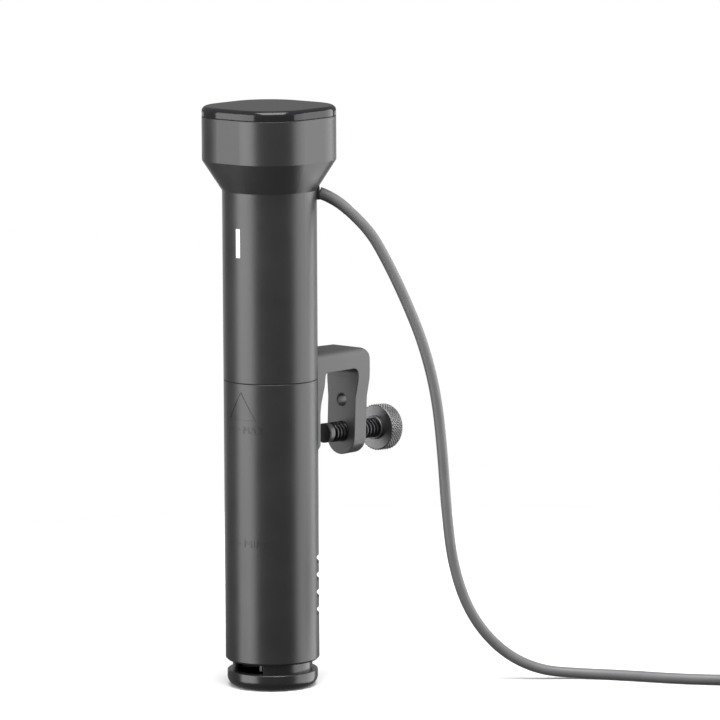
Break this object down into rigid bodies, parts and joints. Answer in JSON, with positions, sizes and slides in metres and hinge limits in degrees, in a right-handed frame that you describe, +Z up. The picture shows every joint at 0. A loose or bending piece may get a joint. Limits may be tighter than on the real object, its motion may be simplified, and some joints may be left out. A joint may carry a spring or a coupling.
{
  "type": "sous vide circulator",
  "caption": "Slim upright immersion circulator with a square-round head, slotted skirt, twist-off foot, screw clamp for a pot rim, and a mains cord coiled behind.",
  "frame": {"origin": "centre of the foot's underside, on the axis of the round body", "axes": "+Z up along the body, -Y to the front where the light bar is, +Y to the back where the pot clamp is, +X to the right seen from the front, so the cord leaves at the back right"},
  "size_m": [0.2972, 0.3553, 0.347],
  "materials": {
    "housing_plastic": "fine moulded texture, satin",
    "skirt_plastic": "fine moulded texture, satin",
    "foot_plastic": "fine moulded texture, satin",
    "gloss_cap": "polished dark panel",
    "light_pipe": "milky white diffuser",
    "clamp_plastic": "satin moulded",
    "dark_steel": "black oxide, oiled",
    "knob_metal": "dark anodised, knurled",
    "pad_rubber": "matt rubber",
    "swivel_plastic": "turned, satin",
    "steel": "drawn stainless",
    "screw_steel": "zinc plated",
    "circuit_board": "solder mask",
    "component_dark": "moulded body",
    "component_blue": "sleeved",
    "component_white": "moulded",
    "copper_bronze": "sintered bronze and copper",
    "aluminium_fins": "extruded",
    "frame_plastic": "natural moulded",
    "seal_rubber": "silicone rubber",
    "magnet": "sintered ferrite",
    "impeller_plastic": "moulded",
    "cord_sheath": "soft grey sheath",
    "plug_rubber": "moulded over",
    "plug_metal": "nickel plated",
    "tie_strap": "woven strap"
  },
  "bodies": {
    "housing": {"upper_housing": "housing_plastic", "top_cover": "gloss_cap", "light_bar_lens": "light_pipe", "lower_skirt": "skirt_plastic", "skirt_inlet": "skirt_plastic", "skirt_bands": "skirt_plastic", "skirt_rim": "skirt_plastic", "clamp_bracket": "clamp_plastic", "clamp_fixing_screws": "screw_steel", "display_board": "circuit_board", "display_module": "component_dark", "touch_springs": "screw_steel", "board_screws": "screw_steel", "buzzer": "component_dark", "light_bar_board": "circuit_board", "inner_chassis": "frame_plastic", "power_board": "circuit_board", "power_relay": "component_dark", "filter_capacitor": "component_blue", "transformer": "component_dark", "triac_heatsink": "aluminium_fins", "terminal_block": "component_white", "bulkhead": "frame_plastic", "housing_screws": "screw_steel", "bulkhead_seal": "seal_rubber", "skirt_seal": "seal_rubber", "shaft_seal": "seal_rubber", "heater_coil": "steel", "heater_terminals": "copper_bronze", "temperature_probe": "steel", "level_electrodes": "steel", "thermal_cutout": "component_dark", "bearing_bridge": "frame_plastic", "shaft_bush": "copper_bronze", "motor_mount": "frame_plastic", "motor_screws": "screw_steel", "motor_can": "steel", "motor_end_cap": "component_dark", "motor_stator": "magnet", "motor_bearings": "copper_bronze", "cord_gland": "housing_plastic", "strain_relief": "cord_sheath", "mains_cord": "cord_sheath", "cord_coil": "cord_sheath", "cord_tail": "cord_sheath", "coil_tie": "tie_strap", "plug_relief": "plug_rubber", "plug_body": "plug_rubber", "plug_blades": "plug_metal", "plug_earth_pin": "plug_metal"},
    "pad_slider": {"pad_swivel": "swivel_plastic", "clamp_pad": "pad_rubber"},
    "screw_and_knob": {"clamp_screw": "dark_steel", "clamp_knob": "knob_metal"},
    "pump_rotor": {"motor_rotor": "copper_bronze", "shaft_coupling": "screw_steel", "drive_shaft": "steel", "impeller": "impeller_plastic"},
    "foot": {"foot_cap": "foot_plastic"}
  },
  "joints": [
    {"name": "pad_slide", "type": "slide", "parent": "housing", "child": "pad_slider", "axis": [0, -0.999, 0.0436], "range_m": [-0.008, 0.0138]},
    {"name": "screw_turn", "type": "hinge", "parent": "pad_slider", "child": "screw_and_knob", "pos_m": [0, 0.09435, 0.14391], "axis": [0, -0.999, 0.0436], "range_deg": [-960, 1656]},
    {"name": "pump_spin", "type": "hinge", "parent": "housing", "child": "pump_rotor", "pos_m": [0, 0, 0.015], "axis": [0, 0, 1], "continuous": true},
    {"name": "foot_twist", "type": "hinge", "parent": "housing", "child": "foot", "pos_m": [0, 0, 0.01], "axis": [0, 0, 1], "range_deg": [0, 35]}
  ],
  "couplings": [
    {"joint": "screw_turn", "follows": "pad_slide", "rad_per_m": 2094.4}
  ]
}
